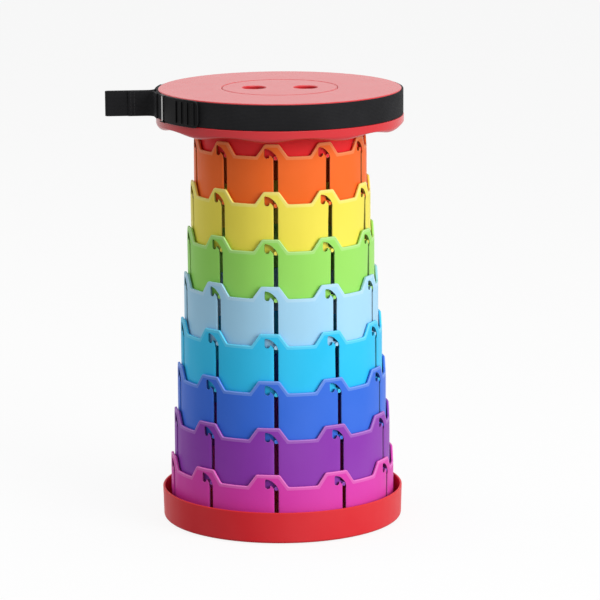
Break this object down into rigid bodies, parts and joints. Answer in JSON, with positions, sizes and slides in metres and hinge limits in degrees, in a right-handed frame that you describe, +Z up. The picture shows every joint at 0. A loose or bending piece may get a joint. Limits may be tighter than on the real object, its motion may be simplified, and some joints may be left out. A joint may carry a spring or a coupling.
{
  "type": "collapsible telescopic stool",
  "caption": "Round folding stool: nested slotted plastic rings slide down into a base tray under a red seat with finger holes and a black carry strap.",
  "frame": {"origin": "centre of the non-slip pad's underside, on the floor under the seat's centre", "axes": "+Z up along the telescoping axis, +X to the right and -Y towards the viewer of the picture, with the carry loop on -X"},
  "size_m": [0.3005, 0.25, 0.443],
  "materials": {
    "red_plastic": "satin moulded polypropylene",
    "orange_plastic": "satin moulded polypropylene",
    "yellow_plastic": "satin moulded polypropylene",
    "green_plastic": "satin moulded polypropylene",
    "light_blue_plastic": "satin moulded polypropylene",
    "azure_plastic": "satin moulded polypropylene",
    "royal_blue_plastic": "satin moulded polypropylene",
    "purple_plastic": "satin moulded polypropylene",
    "magenta_plastic": "satin moulded polypropylene",
    "black_plastic": "satin acetal",
    "black_webbing": "woven 25 mm webbing",
    "pad_rubber": "matt non-slip pad",
    "screw_steel": "zinc plated steel"
  },
  "bodies": {
    "base": {"base_tray": "red_plastic", "base_pad": "pad_rubber", "base_screws": "screw_steel", "magenta_ring": "magenta_plastic"},
    "purple_stage": {"purple_ring": "purple_plastic"},
    "royal_blue_stage": {"royal_blue_ring": "royal_blue_plastic"},
    "azure_stage": {"azure_ring": "azure_plastic"},
    "light_blue_stage": {"light_blue_ring": "light_blue_plastic"},
    "green_stage": {"green_ring": "green_plastic"},
    "yellow_stage": {"yellow_ring": "yellow_plastic"},
    "orange_stage": {"orange_ring": "orange_plastic"},
    "seat_stage": {"seat_cap": "red_plastic", "finger_plate": "red_plastic", "red_ring": "red_plastic", "seat_screws": "screw_steel", "strap_band": "black_webbing", "strap_loop": "black_webbing", "strap_tail": "black_webbing", "strap_buckle": "black_plastic", "buckle_bar": "screw_steel"}
  },
  "joints": [
    {"name": "purple_slide", "type": "slide", "parent": "base", "child": "purple_stage", "axis": [0, 0, 1], "range_m": [-0.047, 0]},
    {"name": "royal_blue_slide", "type": "slide", "parent": "purple_stage", "child": "royal_blue_stage", "axis": [0, 0, 1], "range_m": [-0.047, 0]},
    {"name": "azure_slide", "type": "slide", "parent": "royal_blue_stage", "child": "azure_stage", "axis": [0, 0, 1], "range_m": [-0.047, 0]},
    {"name": "light_blue_slide", "type": "slide", "parent": "azure_stage", "child": "light_blue_stage", "axis": [0, 0, 1], "range_m": [-0.047, 0]},
    {"name": "green_slide", "type": "slide", "parent": "light_blue_stage", "child": "green_stage", "axis": [0, 0, 1], "range_m": [-0.047, 0]},
    {"name": "yellow_slide", "type": "slide", "parent": "green_stage", "child": "yellow_stage", "axis": [0, 0, 1], "range_m": [-0.047, 0]},
    {"name": "orange_slide", "type": "slide", "parent": "yellow_stage", "child": "orange_stage", "axis": [0, 0, 1], "range_m": [-0.047, 0]},
    {"name": "seat_slide", "type": "slide", "parent": "orange_stage", "child": "seat_stage", "axis": [0, 0, 1], "range_m": [-0.0414, 0]}
  ]
}
